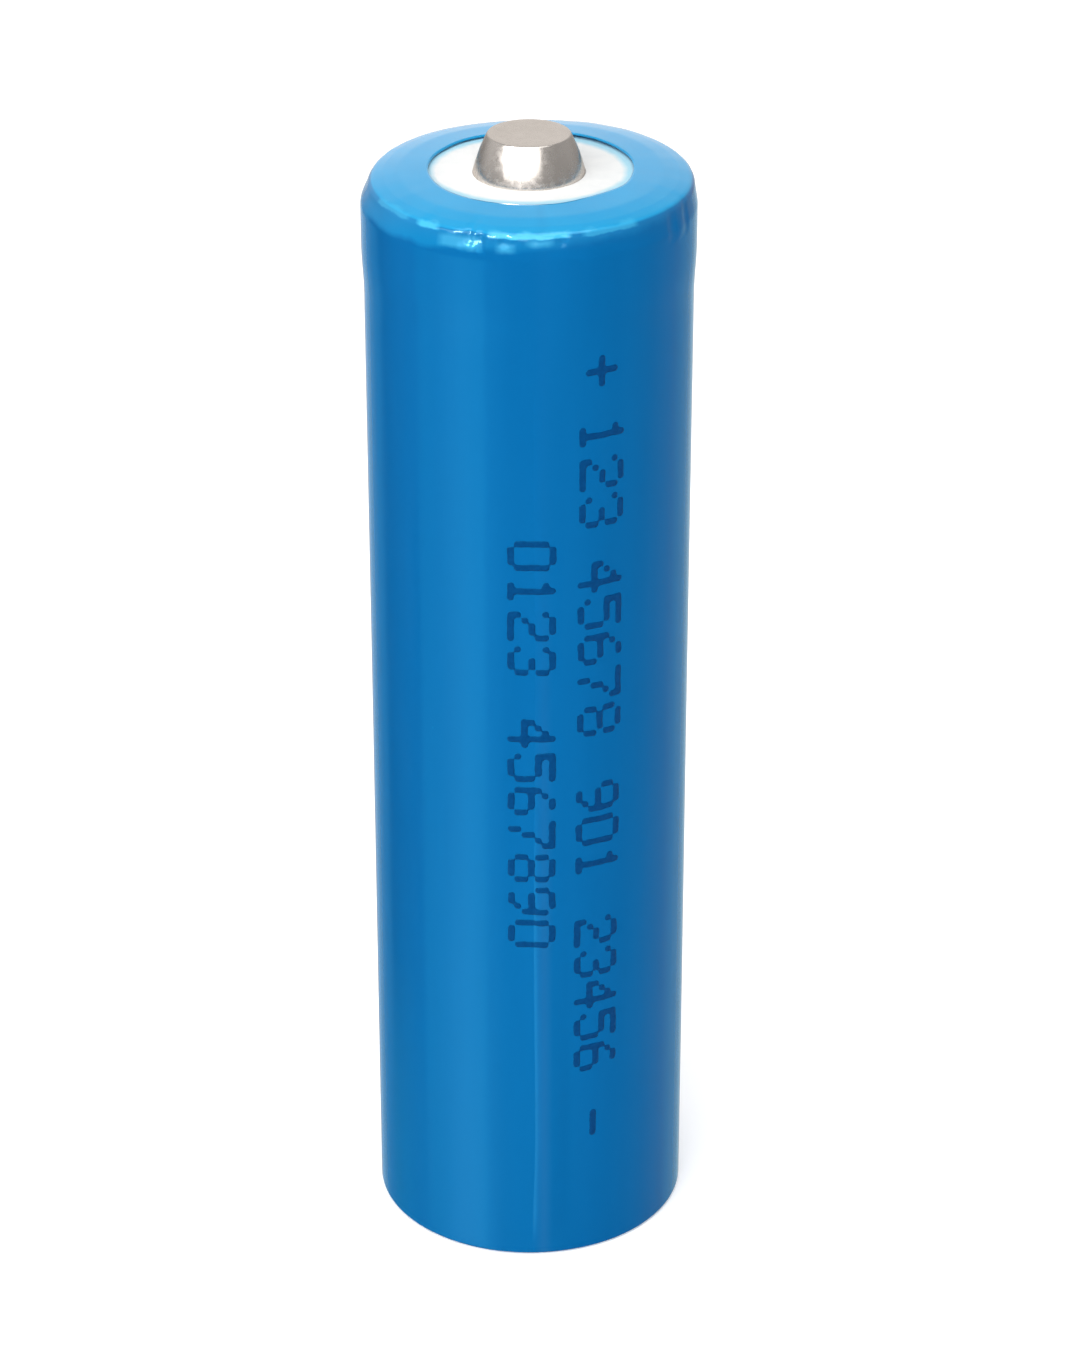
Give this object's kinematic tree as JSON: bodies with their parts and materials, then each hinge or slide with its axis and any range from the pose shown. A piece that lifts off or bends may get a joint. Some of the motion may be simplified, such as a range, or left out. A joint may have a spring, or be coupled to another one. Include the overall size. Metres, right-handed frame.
{
  "type": "cylindrical battery cell",
  "caption": "Upright cylindrical lithium-ion cell in a glossy blue shrink sleeve, with a white insulating washer round a raised metal button and a full wound interior.",
  "frame": {"origin": "middle of the sleeve's bottom edge, where the cell stands on its negative end", "axes": "+Z along the cell's axis from the negative end to the positive button; X and Y are the cell's radii, with both tabs on the +X side"},
  "size_m": [0.0186, 0.0186, 0.0677],
  "materials": {
    "sleeve": "gloss",
    "washer": "matte",
    "nickel": "polished",
    "plated_steel": "satin",
    "aluminium": "satin",
    "gasket_polymer": "satin",
    "ptc_composite": "matte",
    "insulating_film": "satin",
    "separator_film": "satin",
    "cathode_coating": "matte",
    "anode_coating": "matte",
    "tape": "satin"
  },
  "bodies": {
    "cell": {"heat_shrink_sleeve": "sleeve", "insulator_washer": "washer", "button_cap": "nickel", "positive_cap": "nickel", "ptc_ring": "ptc_composite", "burst_disc_rim": "aluminium", "cid_insulator_ring": "insulating_film", "cid_contact_disc": "aluminium", "crimp_gasket": "gasket_polymer", "steel_can": "plated_steel", "upper_insulator_disc": "insulating_film", "positive_tab": "aluminium", "positive_tab_tape": "tape", "cathode_sheet": "cathode_coating", "anode_sheet": "anode_coating", "separator_inner": "separator_film", "separator_outer": "separator_film", "roll_end_tape": "tape", "centre_pin": "plated_steel", "lower_insulator_disc": "insulating_film", "negative_tab": "nickel", "negative_tab_tape": "tape"},
    "burst_disc": {"burst_disc_centre": "aluminium"}
  },
  "joints": [
    {"name": "current_interrupt_trip", "type": "slide", "parent": "cell", "child": "burst_disc", "axis": [0, 0, 1], "range_m": [0, 0.0006]}
  ]
}
